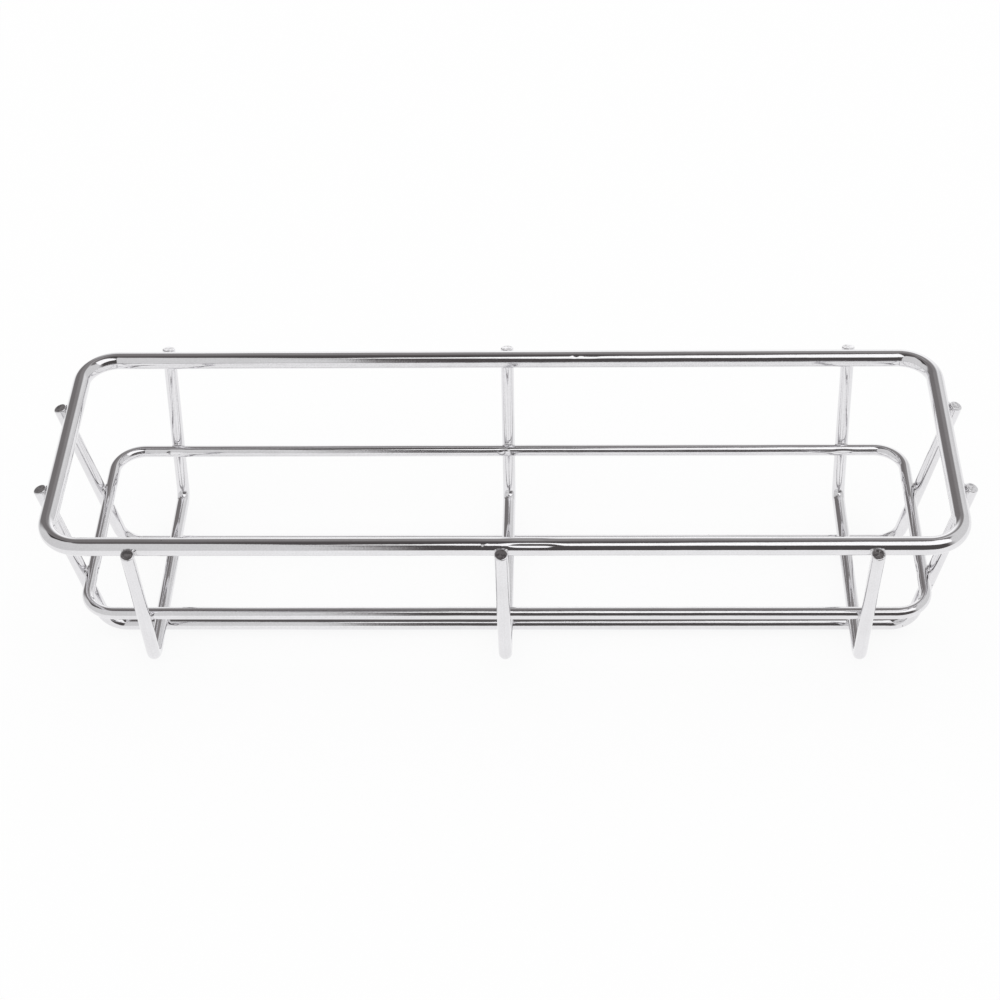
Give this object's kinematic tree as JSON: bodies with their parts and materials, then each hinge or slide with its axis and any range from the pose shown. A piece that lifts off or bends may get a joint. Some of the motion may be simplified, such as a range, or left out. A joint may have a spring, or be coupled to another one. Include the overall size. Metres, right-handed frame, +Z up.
{
  "type": "sugar packet holder",
  "caption": "Open chrome wire rack that holds sugar packets on edge: a heavy rim and a lighter base loop joined by bent, welded ribs that splay towards the top.",
  "frame": {"origin": "on the table, under the middle of the rack", "axes": "+X along the rack's length, +Y to its back, +Z up"},
  "size_m": [0.165, 0.0582, 0.036],
  "materials": {
    "chrome_wire": "bright chrome plate on drawn steel wire",
    "chrome_weld": "bright chrome plate over weld metal"
  },
  "bodies": {
    "root": {"rim": "chrome_wire", "base_loop": "chrome_wire", "cross_rib_left": "chrome_wire", "cross_rib_middle": "chrome_wire", "cross_rib_right": "chrome_wire", "long_rib_front": "chrome_wire", "long_rib_back": "chrome_wire", "rim_welds": "chrome_weld", "loop_welds": "chrome_weld", "base_welds": "chrome_weld"}
  },
  "joints": []
}
